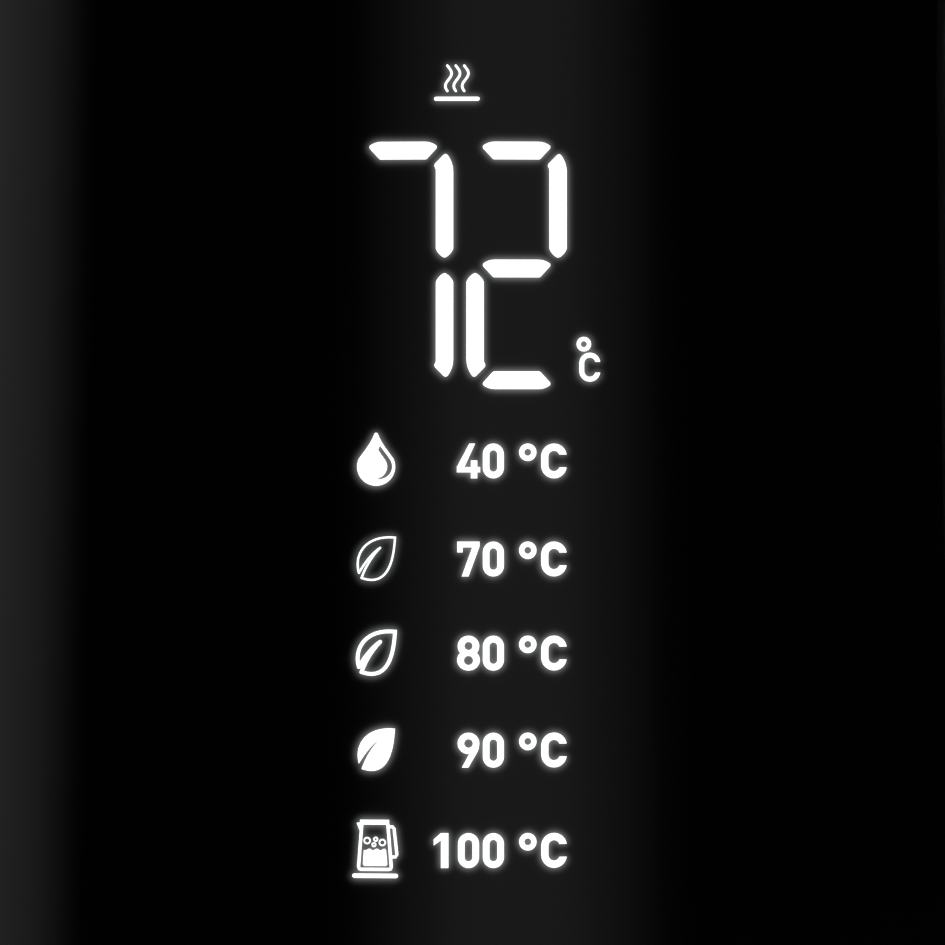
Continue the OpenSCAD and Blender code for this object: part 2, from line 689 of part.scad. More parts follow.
spout_x = 68;             // where the bent tube joins its root
elbow_r = 24;             // bend radius of the centre line at the foot of the spout
rise_x = spout_x + 4 + elbow_r;
neck_low = spout_z + elbow_r + 2;
crest_r = 16;             // bend radius of the centre line at the top of the spout
crest_z = sleeve_top;     // height of the centre line over the bend
neck_high = crest_z - crest_r - 2;
tip_run = 35;             // straight length that ends at the mouth
tip_fall = 5;             // degrees that the mouth points down
spout_sides = 40;
weld = 0.02;              // gap that stands for a weld

// The spout is welded up from four lengths of tapered tube, seen here from the side.
elbow_path = concat([[-spout_x, spout_z]],
    [for (i = [0:14]) let(a = 90 / 14 * i)
        [-spout_x - 4 - elbow_r * sin(a), spout_z + elbow_r * (1 - cos(a))]],
    [[-rise_x, neck_low]]);
neck_path = [[-rise_x, neck_low], [-rise_x, neck_high]];
crest = arc([-rise_x - crest_r, crest_z - crest_r], crest_r, 0, 90 + tip_fall, 15);
tip_way = [-cos(tip_fall), -sin(tip_fall)];
bend_path = concat([[-rise_x, neck_high]], crest, [crest[15] + tip_way]);
tip_path = [for (run = [1, tip_run]) crest[15] + run * tip_way];

function whole(p) = run_to(p, len(p) - 1);
neck_start = whole(elbow_path);
bend_start = neck_start + whole(neck_path);
tip_start = bend_start + whole(bend_path);
spout_run = tip_start + whole(tip_path);

// Outer radius at a distance along the spout from its root: an even taper.
function spout_r(run) = spout_root_r + (spout_tip_r - spout_root_r) * run / spout_run;

// A tube that follows a path, whose first point is a given distance along the spout.
module bent_tube(path, start) {
    n = len(path);
    m = spout_sides;
    function ring(i, t) = let(s = left_of(path, i), c = path[i], r = spout_r(start + run_to(path, i)) - t)
        [for (k = [0:m - 1]) let(a = 360 * k / m)
            [c[0] + r * cos(a) * s[0], r * sin(a), c[1] + r * cos(a) * s[1]]];
    points = concat([for (i = [0:n - 1]) each ring(i, 0)], [for (i = [0:n - 1]) each ring(i, spout_t)]);
    inside = n * m;
    function wall(o, i, k, flip) =
        let(a = o + i * m + k, b = o + i * m + (k + 1) % m, c = b + m, d = a + m)
            flip ? [a, b, c, d] : [d, c, b, a];
    sides = [for (i = [0:n - 2]) for (k = [0:m - 1]) each
        [wall(0, i, k, true), wall(inside, i, k, false)]];
    ends = [for (k = [0:m - 1]) let(j = (k + 1) % m, e = (n - 1) * m) each
        [[k, inside + k, inside + j, j], [e + k, e + j, inside + e + j, inside + e + k]]];
    color("#b9bcc0") polyhedron(points = points, faces = concat(sides, ends), convexity = 8);
}

module spout_elbow() { bent_tube(elbow_path, 0); }
module spout_neck() { translate([0, 0, weld]) bent_tube(neck_path, neck_start); }
module spout_bend() { translate([0, 0, 2 * weld]) bent_tube(bend_path, bend_start); }
module spout_tip() { translate([weld * tip_way[0], 0, 2 * weld]) bent_tube(tip_path, tip_start); }

module spout_root() {
    color("#b9bcc0") difference() {
        along_x(-spout_x + 0.02, spout_z) cylinder(r = spout_root_r, h = 22);
        along_x(-spout_x - 1, spout_z) cylinder(r = spout_root_r - spout_t, h = 30);
        translate([0, 0, spout_z - 30]) cylinder(r = vessel_r + 0.02, h = 60, $fn = 160);
    }
}

module spout_collar() {
    color("#b9bcc0") difference() {
        along_x(-spout_x - 1.4, spout_z) rotate_extrude() polygon(concat(
            [[spout_root_r + 0.15, 0]], arc([spout_root_r + 2.2, 1.6], 1.6, -90, 0, 5),
            [[spout_root_r + 3.8, 8], [spout_root_r + 0.15, 8]]));
        sleeve_core(0.05);
    }
}

module spout_gasket() {
    color("#d7d7d3") intersection() {
        along_x(-spout_x - 4, spout_z) tube(spout_root_r + 1.6, spout_root_r + 0.1, 14);
        sleeve_layer(spout_z - 20, spout_z + 20, -sleeve_t, 0);
    }
}

// ---------------------------------------------------------------------- handle

grip_path = concat(
    [[handle_x, handle_top_z], [77, handle_top_z]],
    curve([86, handle_top_z + 0.2], [102, handle_top_z + 2], [109.6, 163], [110.2, 148], 12),
    curve([110.7, 140], [111.2, 130], [111.8, 120], [112.5, 110], 4),
    curve([113.2, 103], [113.5, 95], [108, 88.5], [96, 88], 12),
    [[84, handle_low_z + 0.3], [77, handle_low_z], [handle_x, handle_low_z]]);

// Half of a rounded section: side 1 faces away from the body and side -1 faces it.
function half_section(side) = [for (i = [0:12]) let(a = -90 + 15 * i, c = cos(a), s = sin(a))
    [side * (parting / 2 + (grip_depth / 2 - parting / 2) * pow(abs(c), 0.7)),
     grip_width / 2 * sign(s) * pow(abs(s), 0.7)]];

module grip_half(side) {
    n = len(grip_path);
    section = half_section(side);
    m = len(section);
    points = [for (i = [0:n - 1]) let(out = left_of(grip_path, i), c = grip_path[i]) each
        [for (q = section) [c[0] + q[0] * out[0], q[1], c[1] + q[0] * out[1]]]];
    sides = [for (i = [0:n - 2]) for (k = [0:m - 1])
        let(a = i * m + k, b = i * m + (k + 1) % m) [a, b, b + m, a + m]];
    caps = [[for (k = [m - 1:-1:0]) k], [for (k = [0:m - 1]) (n - 1) * m + k]];
    faces = concat(sides, caps);
    polyhedron(points = points, convexity = 4,
               faces = side > 0 ? faces : [for (f = faces) [for (k = [len(f) - 1:-1:0]) f[k]]]);
}

module handle_outer() { color("#121214") grip_half(1); }
module handle_inner() { color("#1c1c1f") grip_half(-1); }

// Sockets between the sleeve and the grip's two ends.
module handle_mounts() {
    color("#121214") for (z = [handle_top_z, handle_low_z]) difference() {
        along_x(52, z) linear_extrude(height = handle_x - 52.05)
            polygon([for (q = concat(half_section(1), mirrored(half_section(1)))) [q[0] * 1.08, q[1] * 1.06]]);
        sleeve_core(0.05);
        along_x(40, z) cylinder(r = 1.75, h = 26.5, $fn = 32);
    }
}

module handle_brackets() {
    color("#a7a9ac") for (z = [handle_top_z, handle_low_z]) difference() {
        intersection() {
            translate([56, -9, z - 9]) cube([9, 18, 18]);
            sleeve_core(-sleeve_t - 0.05);
        }
        along_x(50, z) cylinder(r = 2.1, h = 20, $fn = 32);
    }
}

module handle_screws() {
    color("#a7a9ac") for (z = [handle_top_z, handle_low_z]) along_x(55.95, z) pan_screw(1.7, 3.6, 10.2, 1.8);
}

// ------------------------------------------------------------------------- lid

vent_ring = 26;

module vents() {
    ring_of(3, vent_ring, 90) translate([0, 0, pan_low - 5]) cylinder(r = 1.25, h = 40, $fn = 24);
}

module lid_cap() {
    color("#0c0c0e") difference() {
        rotate_extrude($fn = 200) polygon(concat(
            [[0, lid_high], [knob_r, lid_high]],
            curve([knob_r + 4, lid_high], [45, lid_high], [52, lid_high - 0.3], [lid_r - 3.2, lid_high - 1], 6),
            arc([lid_r - 2.6, lid_high - 3.6], 2.6, 80, 0, 6),
            [[lid_r, lid_low + 0.4], [lid_r - 0.4, lid_low], [51, lid_low], [51, lid_low + 1.2], [0, lid_low + 1.2]]));
        translate([0, 0, lid_low - 1]) cylinder(r = 2.3, h = 20, $fn = 32);
        vents();
    }
}

module lid_pan() {
    color("#b9bcc0") difference() {
        rotate_extrude($fn = 160) polygon(concat(
            [[0, pan_low], [30, pan_low]],
            arc([pan_r - 3, pan_low + 3], 3, -90, 0, 5),
            [[pan_r, lid_low + 0.1], [50.6, lid_low + 0.1], [50.6, lid_low + 1.0], [pan_r - 0.9, lid_low + 1.0]],
            arc([pan_r - 3, pan_low + 3], 2.1, 0, -90, 5),
            [[30, pan_low + 0.9], [0, pan_low + 0.9]]));
        vents();
    }
}

module lid_seal() {
    z = vessel_rim + 4;
    color("#d7d7d3") rotate_extrude($fn = 160) polygon([
        [pan_r + 0.05, z], [pan_r + 0.5, z], [mouth_r - 0.2, z + 0.9], [mouth_r - 0.2, z + 1.3], [pan_r + 0.6, z + 1.6],
        [pan_r + 0.6, z + 2.2], [mouth_r - 0.2, z + 3], [mouth_r - 0.2, z + 3.4], [pan_r + 0.5, z + 4], [pan_r + 0.05, z + 4]]);
}

module lid_knob() {
    color("#121214") difference() {
        rotate_extrude($fn = 120) polygon(concat(
            [[0, lid_high + 0.05], [8.5, lid_high + 0.05]],
            curve([8.5, lid_high + 0.1], [7.2, lid_high + 4], [8, lid_high + 6.5], [knob_r - 1.4, lid_high + 8.6], 8),
            arc([knob_r - 1.6, lid_high + 10.4], 1.6, -60, 60, 6),
            curve([knob_r - 1.6, lid_high + 12.2], [8, lid_high + 13.4], [4, lid_high + 13.6], [0, lid_high + 13.6], 6)));
        translate([0, 0, lid_high - 1]) cylinder(r = 1.75, h = 10, $fn = 32);
    }
}

module knob_screw() {
    color("#a7a9ac") translate([0, 0, lid_low + 1.15]) pan_screw(1.7, 4.2, 12.5, 2);
}

foot_ring();
base_plate();
base_housing();
base_connector();
base_contacts();
base_screws();
connector_screws();
cord_gland();
terminal_block();
socket_housing();
socket_contacts();
bottom_cover();
cover_screws();
outer_sleeve();
vessel();
vessel_pillars();
vessel_seal();
rim_collar();
heater_plate();
heating_element();
heater_terminals();
dry_boil_cutouts();
temperature_probe();
control_board();
power_relay();
board_parts();
board_screws();
display_board();
display_leds();
led_reflector();
display_film();
touch_film();
display_cable();
display_digits();
display_labels();
display_icons();
spout_root();
spout_elbow();
spout_neck();
spout_bend();
spout_tip();
spout_collar();
spout_gasket();
handle_outer();
handle_inner();
handle_mounts();
handle_brackets();
handle_screws();
lid_cap();
lid_pan();
lid_seal();
lid_knob();
knob_screw();
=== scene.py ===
"""Looks for the electric gooseneck kettle: materials, the lit display and the glow painted round
its marks, studio and camera.

Everything is in metres in the row frame: +Z is up, the display faces -Y and the spout points to -X.
"""

import json
import math

import bpy
import numpy as np
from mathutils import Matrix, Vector


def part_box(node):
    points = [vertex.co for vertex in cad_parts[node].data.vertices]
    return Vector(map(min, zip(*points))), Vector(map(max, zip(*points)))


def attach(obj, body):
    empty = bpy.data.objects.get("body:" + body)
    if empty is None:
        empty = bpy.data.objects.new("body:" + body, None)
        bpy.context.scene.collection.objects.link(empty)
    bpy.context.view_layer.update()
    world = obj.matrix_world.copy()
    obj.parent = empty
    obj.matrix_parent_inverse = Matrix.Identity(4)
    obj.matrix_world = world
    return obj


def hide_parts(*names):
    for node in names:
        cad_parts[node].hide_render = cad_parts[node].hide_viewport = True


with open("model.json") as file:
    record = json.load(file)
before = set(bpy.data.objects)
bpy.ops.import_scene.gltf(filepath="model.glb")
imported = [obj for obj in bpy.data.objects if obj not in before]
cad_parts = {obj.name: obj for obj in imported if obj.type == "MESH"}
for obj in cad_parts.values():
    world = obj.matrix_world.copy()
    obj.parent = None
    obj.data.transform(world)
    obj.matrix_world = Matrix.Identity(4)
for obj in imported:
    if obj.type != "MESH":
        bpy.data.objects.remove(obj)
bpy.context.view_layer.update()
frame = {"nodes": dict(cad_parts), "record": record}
nodes = frame["nodes"]

# ------------------------------------------------------------------ measures

MM = 0.001
SLEEVE_LOW, SLEEVE_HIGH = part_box("outer_sleeve")
SLEEVE_FOOT_Z, SLEEVE_TOP_Z = SLEEVE_LOW.z, SLEEVE_HIGH.z
SLEEVE_FOOT_R = SLEEVE_HIGH.x
SLEEVE_TOP_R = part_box("rim_collar")[1].x
SLEEVE_WALL = 2.4 * MM
LIP_R = 0.5 * MM               # rounding of the sleeve's two edges
DISPLAY_LOW, DISPLAY_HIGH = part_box("touch_film")
DISPLAY_Z = (DISPLAY_LOW.z + DISPLAY_HIGH.z) / 2
DISPLAY_HALF_W = 20 * MM       # half width of the zone that can glow
GRID = 0.25 * MM               # spacing of the sleeve's mesh in that zone
GLOW_EDGE = 2 * MM             # how far that zone reaches past the display's top and foot
HALO = 0.34 * MM               # how far most of the painted glow spreads in the sleeve
FAR_HALO = 0.8 * MM            # how far the rest spreads
# strengths of the two parts of the glow painted into the sleeve round the lit marks
HALO_LIGHT, FAR_LIGHT = 0.27, 0.012


def sleeve_radius(z):
    """Radius of the sleeve's outer face at height z."""
    share = (z - SLEEVE_FOOT_Z) / (SLEEVE_TOP_Z - SLEEVE_FOOT_Z)
    return SLEEVE_FOOT_R + (SLEEVE_TOP_R - SLEEVE_FOOT_R) * share


# ----------------------------------------------------------------- materials


class Look:
    """A material under construction: its Principled shader and short ways to feed it."""

    def __init__(self, name, color, roughness, metallic=0.0, **sockets):
        self.material = bpy.data.materials.new(name)
        self.material.use_nodes = True
        self.tree = self.material.node_tree
        self.shader = self.tree.nodes["Principled BSDF"]
        self.color = color
        self.set("Base Color", (*color, 1.0))
        self.set("Roughness", roughness)
        self.set("Metallic", metallic)
        for socket, value in sockets.items():
            self.set(socket.replace("_", " "), value)

    def set(self, socket, value):
        self.shader.inputs[socket].default_value = value

    def node(self, kind, **values):
        made = self.tree.nodes.new(kind)
        for key, value in values.items():
            if key in made.inputs:
                made.inputs[key].default_value = value
            else:
                setattr(made, key, value)
        return made

    def link(self, source, target):
        self.tree.links.new(source, target)

    def place(self, scale=(1, 1, 1)):
        """Position on the object, stretched by scale."""
        where = self.node("ShaderNodeTexCoord")
        mapping = self.node("ShaderNodeMapping")
        mapping.inputs["Scale"].default_value = scale
        self.link(where.outputs["Object"], mapping.inputs["Vector"])
        return mapping.outputs["Vector"]

    def noise(self, scale, detail=3.0, stretch=(1, 1, 1), rough=0.5):
        made = self.node("ShaderNodeTexNoise", Scale=scale, Detail=detail, Roughness=rough)
        self.link(self.place(stretch), made.inputs["Vector"])
        return made.outputs["Fac"]

    def spread(self, source, low, high, socket, start=0.3, end=0.7):
        """Feeds a socket with numbers from low to high as source goes from start to end."""
        made = self.node("ShaderNodeMapRange")
        ends = {"From Min": start, "From Max": end, "To Min": low, "To Max": high}
        for key, value in ends.items():
            made.inputs[key].default_value = value
        self.link(source, made.inputs["Value"])
        self.link(made.outputs["Result"], self.shader.inputs[socket])
        return self

    def tint(self, source, low, high, start=0.3, end=0.7):
        """Base colour from low to high times the look's colour."""
        ramp = self.node("ShaderNodeValToRGB")
        ramp.color_ramp.elements[0].position = start
        ramp.color_ramp.elements[1].position = end
        for element, factor in zip(ramp.color_ramp.elements, (low, high)):
            element.color = (*[min(1.0, c * factor) for c in self.color], 1.0)
        self.link(source, ramp.inputs["Fac"])
        self.link(ramp.outputs["Color"], self.shader.inputs["Base Color"])
        return self

    def bump(self, source, depth, strength=1.0):
        made = self.node("ShaderNodeBump", Strength=strength, Distance=depth)
        self.link(source, made.inputs["Height"])
        self.link(made.outputs["Normal"], self.shader.inputs["Normal"])
        return self


def moulded(name, color, roughness, grain=1400, depth=0.02 * MM):
    """Moulded plastic or rubber: a fine eroded texture and slightly uneven gloss."""
    look = Look(name, color, roughness)
    look.bump(look.noise(grain, 2.0), depth)
    look.spread(look.noise(45, 4.0), roughness * 0.88, roughness * 1.12, "Roughness")
    look.tint(look.noise(20, 3.0), 0.88, 1.12)
    return look.material


def glossy(name, color, roughness=0.04):
    """Polished plastic with a faint wave in it."""
    look = Look(name, color, roughness)
    look.spread(look.noise(35, 5.0), roughness * 0.7, roughness * 1.7, "Roughness")
    look.bump(look.noise(28, 1.0), 0.012 * MM)
    look.tint(look.noise(9, 2.0), 0.9, 1.1)
    return look.material


def brushed(name, color, roughness, stretch, grain=260, depth=0.01 * MM):
    """Brushed metal: fine streaks along the direction that stretch leaves unscaled."""
    look = Look(name, color, roughness, metallic=1.0)
    streaks = look.noise(grain, 4.0, stretch, 0.65)
    look.bump(streaks, depth)
    look.spread(streaks, roughness * 0.75, roughness * 1.3, "Roughness", 0.25, 0.75)
    look.tint(look.noise(30, 3.0), 0.93, 1.05)
    return look.material


def turned(name, color, roughness, grain=1500, depth=0.012 * MM):
    """Turned or spun metal: rings round the kettle's axis."""
    look = Look(name, color, roughness, metallic=1.0)
    parts = look.node("ShaderNodeSeparateXYZ")
    look.link(look.place(), parts.inputs["Vector"])
    flat = look.node("ShaderNodeCombineXYZ")
    look.link(parts.outputs["X"], flat.inputs["X"])
    look.link(parts.outputs["Y"], flat.inputs["Y"])
    length = look.node("ShaderNodeVectorMath", operation="LENGTH")
    look.link(flat.outputs["Vector"], length.inputs[0])
    along = look.node("ShaderNodeCombineXYZ")
    look.link(length.outputs["Value"], along.inputs["X"])
    look.link(parts.outputs["Z"], along.inputs["Y"])
    rings = look.node("ShaderNodeTexNoise", Scale=grain, Detail=3.0)
    look.link(along.outputs["Vector"], rings.inputs["Vector"])
    look.bump(rings.outputs["Fac"], depth)
    look.spread(rings.outputs["Fac"], roughness * 0.75, roughness * 1.3, "Roughness")
    look.tint(look.noise(25, 3.0), 0.94, 1.04)
    return look.material


def lit(name):
    """The lit marks: even white light through a slightly grained diffuser."""
    look = Look(name, (0.5, 0.5, 0.5), 0.4)
    look.set("Emission Color", (1.0, 1.0, 1.0, 1.0))
    look.set("Emission Strength", 1.0)
    look.tint(look.noise(900, 2.0), 0.96, 1.02)
    return look.material


def board(name, color):
    """Circuit board: solder mask over faint copper tracks."""
    look = Look(name, color, 0.3)
    tracks = look.node("ShaderNodeTexBrick", Scale=160.0)
    tracks.inputs["Color1"].default_value = (*color, 1.0)
    tracks.inputs["Color2"].default_value = (*[c * 0.8 for c in color], 1.0)
    tracks.inputs["Mortar"].default_value = (*[c * 2.2 for c in color], 1.0)
    tracks.inputs["Mortar Size"].default_value = 0.035
    look.link(look.place(), tracks.inputs["Vector"])
    look.link(tracks.outputs["Color"], look.shader.inputs["Base Color"])
    look.spread(look.noise(120, 3.0), 0.22, 0.4, "Roughness")
    return look.material


def sleeve_look():
    """Tinted high-gloss sleeve. The light that spreads round the lit marks is a painted glow:
    emission read from the mesh's glow attribute.
    """
    look = Look("tinted_sleeve", (0.0002, 0.0002, 0.00022), 0.045)
    look.spread(look.noise(18, 6.0), 0.035, 0.06, "Roughness")
    look.bump(look.noise(14, 1.0), 0.006 * MM)
    glow = look.node("ShaderNodeAttribute", attribute_name="glow")
    look.link(glow.outputs["Fac"], look.shader.inputs["Emission Strength"])
    look.set("Emission Color", (0.97, 1.0, 1.0, 1.0))
    return look.material


STEEL = (0.60, 0.60, 0.61)
LOOKS = {
    "foot_rubber": moulded("foot_rubber", (0.03, 0.03, 0.032), 0.72, 900, 0.03 * MM),
    "underside_plastic": moulded("underside_plastic", (0.035, 0.035, 0.038), 0.55),
    "base_plastic": moulded("base_plastic", (0.016, 0.016, 0.018), 0.36),
    "connector_plastic": moulded("connector_plastic", (0.05, 0.05, 0.055), 0.5),
    "contact_brass": turned("contact_brass", (0.80, 0.58, 0.26), 0.3),
    "screw_steel": brushed("screw_steel", (0.62, 0.62, 0.60), 0.32, (1, 1, 6)),
    "cream_plastic": moulded("cream_plastic", (0.74, 0.70, 0.60), 0.5),
    "vessel_steel": turned("vessel_steel", STEEL, 0.27),
    "silicone": moulded("silicone", (0.66, 0.66, 0.63), 0.45, 700, 0.015 * MM),
    "trim_steel": turned("trim_steel", (0.34, 0.345, 0.36), 0.24),
    "heater_aluminium": moulded("heater_aluminium", (0.6, 0.6, 0.61), 0.42, 500, 0.05 * MM),
    "element_steel": brushed("element_steel", (0.40, 0.37, 0.34), 0.4, (1, 1, 1)),
    "board_green": board("board_green", (0.02, 0.14, 0.06)),
    "relay_plastic": glossy("relay_plastic", (0.02, 0.08, 0.32), 0.25),
    "component_plastic": moulded("component_plastic", (0.05, 0.05, 0.055), 0.45),
    "led_lens": glossy("led_lens", (0.9, 0.86, 0.6), 0.15),
    "white_reflector": moulded("white_reflector", (0.84, 0.84, 0.82), 0.5),
    "diffuser_film": moulded("diffuser_film", (0.16, 0.16, 0.17), 0.35),
    "touch_foil": glossy("touch_foil", (0.42, 0.22, 0.07), 0.2),
    "ribbon_cable": moulded("ribbon_cable", (0.7, 0.7, 0.7), 0.5),
    "lit_display": lit("lit_display"),
    "spout_steel": brushed("spout_steel", STEEL, 0.22, (1, 1, 0.12), 900),
    "handle_plastic": moulded("handle_plastic", (0.017, 0.017, 0.019), 0.42, 1800, 0.012 * MM),
    "gloss_lid": glossy("gloss_lid", (0.006, 0.006, 0.007), 0.05),
    "tinted_sleeve": sleeve_look(),
}
LOOKS["heater_aluminium"].node_tree.nodes["Principled BSDF"].inputs["Metallic"].default_value = 1.0

for row in frame["record"]["subparts"]:
    piece = nodes[row["node"]]
    piece.data.materials.clear()
    piece.data.materials.append(LOOKS[row["material_slot"]])


# ------------------------------------------------------------ bent, soft shapes

CREASE = math.radians(32)      # edges that turn further than this stay sharp


def smoothing():
    """A modifier that joins a mesh's facets and shades it as one curved surface."""
    group = bpy.data.node_groups.new("smoothing", "GeometryNodeTree")
    for way in ("INPUT", "OUTPUT"):
        group.interface.new_socket("Geometry", in_out=way, socket_type="NodeSocketGeometry")
    start = group.nodes.new("NodeGroupInput")
    end = group.nodes.new("NodeGroupOutput")
    weld = group.nodes.new("GeometryNodeMergeByDistance")
    weld.inputs["Distance"].default_value = 0.001 * MM
    bare = group.nodes.new("GeometryNodeRemoveAttribute")
    bare.inputs["Name"].default_value = "custom_normal"
    faces = group.nodes.new("GeometryNodeSetShadeSmooth")
    edges = group.nodes.new("GeometryNodeSetShadeSmooth")
    edges.domain = "EDGE"
    edges.inputs["Shade Smooth"].default_value = False
    turn = group.nodes.new("GeometryNodeInputMeshEdgeAngle")
    sharp = group.nodes.new("FunctionNodeCompare")
    sharp.inputs["B"].default_value = CREASE
    chain = [start, weld, bare, faces, edges, end]
    for source, target in zip(chain, chain[1:]):
        group.links.new(source.outputs[0], target.inputs[0])
    group.links.new(turn.outputs["Unsigned Angle"], sharp.inputs["A"])
    group.links.new(sharp.outputs[0], edges.inputs["Selection"])
    return group


SMOOTHING = smoothing()
BENT = ("spout_elbow", "spout_neck", "spout_bend", "spout_tip", "handle_outer", "handle_inner")
for name in BENT:
    nodes[name].modifiers.new("smoothing", "NODES").node_group = SMOOTHING


# ------------------------------------------------------------------ the painted glow


def front_outline_triangles(names):
    """The outward triangles of the thin lit layers, as (x, z) corners in metres."""
    found = []
    for name in names:
        mesh = nodes[name].data
        mesh.calc_loop_triangles()
        for triangle in mesh.loop_triangles:
            if triangle.normal.y < -0.5:
                corners = [mesh.vertices[v].co for v in triangle.vertices]
                found.append([(corner.x, corner.z) for corner in corners])
    return np.array(found)


def painted(triangles, low, high, step):
    """A picture of the triangles as seen from the front: 1 inside them and 0 outside."""
    columns = int(round((high[0] - low[0]) / step))
    rows = int(round((high[1] - low[1]) / step))
    picture = np.zeros((rows, columns))
    for corners in (triangles - np.array(low)) / step - 0.5:
        c0, r0 = np.floor(corners.min(0)).astype(int)
        c1, r1 = np.ceil(corners.max(0)).astype(int) + 1
        c0, r0 = max(c0, 0), max(r0, 0)
        c, r = np.meshgrid(np.arange(c0, min(c1, columns)), np.arange(r0, min(r1, rows)))
        inside = [(b[0] - a[0]) * (r - a[1]) - (b[1] - a[1]) * (c - a[0])
                  for a, b in zip(corners, np.roll(corners, -1, axis=0))]
        hit = np.all([e >= -1e-9 for e in inside], 0) | np.all([e <= 1e-9 for e in inside], 0)
        picture[r[hit], c[hit]] = 1.0
    return picture


def blurred(picture, width, step):
    """The picture with its light spread by a bell curve of that width."""
    reach = int(4 * width / step)
    bell = np.exp(-0.5 * (np.arange(-reach, reach + 1) * step / width) ** 2)
    bell /= bell.sum()
    for axis in (0, 1):
        picture = np.apply_along_axis(np.convolve, axis, picture, bell, "same")
    return picture


def glow_at(points):
    """How strongly the painted glow lights the sleeve at each (x, z): the lit marks' outlines,
    blurred.
    """
    step = 0.05 * MM
    low = (-DISPLAY_HALF_W, DISPLAY_LOW.z - GLOW_EDGE)
    high = (DISPLAY_HALF_W, DISPLAY_HIGH.z + GLOW_EDGE)
    triangles = front_outline_triangles(["display_digits", "display_labels", "display_icons"])
    picture = painted(triangles, low, high, step)
    light = HALO_LIGHT * blurred(picture, HALO, step) + FAR_LIGHT * blurred(picture, FAR_HALO, step)
    place = (points - np.array(low)) / step - 0.5
    column = np.clip(place[:, 0], 0, light.shape[1] - 2)
    row = np.clip(place[:, 1], 0, light.shape[0] - 2)
    c, r = column.astype(int), row.astype(int)
    u, v = column - c, row - r
    near = (1 - u) * light[r, c] + u * light[r, c + 1]
    far = (1 - u) * light[r + 1, c] + u * light[r + 1, c + 1]
    return (1 - v) * near + v * far


# ---------------------------------------------------------------- the sleeve


def sleeve_columns():
    """Angles round the sleeve, from the display's middle: close together where it can glow."""
    edge = math.asin(DISPLAY_HALF_W / SLEEVE_FOOT_R)
    steps = int(2 * DISPLAY_HALF_W / GRID) + 1
    fine = np.arcsin(np.linspace(-math.sin(edge), math.sin(edge), steps))
    coarse = np.linspace(edge, 2 * math.pi - edge, 150)[1:-1]
    return np.concatenate([fine, coarse])


def sleeve_profile():
    """(radius, height) pairs from the inner foot edge, up the outside and over the lip."""
    low, high = DISPLAY_LOW.z - GLOW_EDGE, DISPLAY_HIGH.z + GLOW_EDGE
    heights = np.concatenate([
        np.linspace(SLEEVE_FOOT_Z + LIP_R, low, 8)[:-1],
        np.linspace(low, high, int((high - low) / GRID) + 1),
        np.linspace(high, SLEEVE_TOP_Z - LIP_R, 8)[1:]])
    outside = [(sleeve_radius(z), z) for z in heights]

    def lip(r, z, start):
        steps = [math.radians(start + 15 * i) for i in range(1, 6)]
        return [(r + LIP_R * math.cos(a), z + LIP_R * math.sin(a)) for a in steps]

    foot_r, top_r = sleeve_radius(SLEEVE_FOOT_Z), sleeve_radius(SLEEVE_TOP_Z)
    return (
        [(foot_r - SLEEVE_WALL, SLEEVE_FOOT_Z + LIP_R)]
        + [(foot_r - SLEEVE_WALL, SLEEVE_FOOT_Z), (foot_r - LIP_R, SLEEVE_FOOT_Z)]
        + lip(foot_r - LIP_R, SLEEVE_FOOT_Z + LIP_R, -90)
        + outside
        + lip(top_r - LIP_R, SLEEVE_TOP_Z - LIP_R, 0)
        + [(top_r - LIP_R, SLEEVE_TOP_Z), (top_r - SLEEVE_WALL, SLEEVE_TOP_Z)]
    )


def make_sleeve():
    angles, profile = sleeve_columns(), np.array(sleeve_profile())
    across, up = np.meshgrid(angles, np.arange(len(profile)))
    radius, height = profile[up, 0], profile[up, 1]
    points = np.stack([radius * np.sin(across), -radius * np.cos(across), height], -1)
    points = points.reshape(-1, 3)
    rows, columns = len(profile), len(angles)
    here = np.arange(rows * columns).reshape(rows, columns)
    beside = np.roll(here, -1, axis=1)
    above, corner = np.roll(here, -1, axis=0), np.roll(beside, -1, axis=0)
    faces = np.stack([here, beside, corner, above], -1).reshape(-1, 4)
    mesh = bpy.data.meshes.new("sleeve_shell")
    mesh.from_pydata(points.tolist(), [], faces.tolist())
    mesh.polygons.foreach_set("use_smooth", [True] * len(faces))
    # painted glow: emission strength per point, from the lit marks' blurred outlines
    glow = mesh.attributes.new("glow", "FLOAT", "POINT")
    front = (points[:, 1] < 0) & (np.abs(points[:, 0]) < DISPLAY_HALF_W - GRID)
    out_from_axis = np.hypot(points[:, 0], points[:, 1])
    front &= out_from_axis > sleeve_radius(points[:, 2]) - 0.1 * MM
    front &= (points[:, 2] > DISPLAY_LOW.z) & (points[:, 2] < DISPLAY_HIGH.z)
    values = np.zeros(len(points))
    values[front] = glow_at(points[front][:, [0, 2]])
    glow.data.foreach_set("value", values)
    mesh.materials.append(LOOKS["tinted_sleeve"])
    shell = bpy.data.objects.new("sleeve_shell", mesh)
    bpy.context.scene.collection.objects.link(shell)
    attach(shell, "kettle")
    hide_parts("outer_sleeve")


make_sleeve()

# ------------------------------------------------------- camera, floor, light

FRAME_W = 102.2 * MM           # width that the close-up shows at the sleeve's front
LENS, SENSOR = 300.0, 36.0
FLOOR_R = 0.9
FLOOR_Z = -0.05 * MM
HORIZON_R, HORIZON_GLOW = 3.0, 0.2     # the far floor brightens until it meets the backdrop
CARD_DISTANCE = 2.4


def make_camera():
    data = bpy.data.cameras.new("camera")
    data.lens, data.sensor_width = LENS, SENSOR
    distance = FRAME_W / 2 / (SENSOR / 2 / LENS)
    camera = bpy.data.objects.new("camera", data)
    camera.location = (0, -sleeve_radius(DISPLAY_Z) - distance, DISPLAY_Z - 1 * MM)
    camera.rotation_euler = (math.radians(90), 0, 0)
    data.clip_start, data.clip_end = 0.01, 100
    bpy.context.scene.collection.objects.link(camera)
    bpy.context.scene.camera = camera


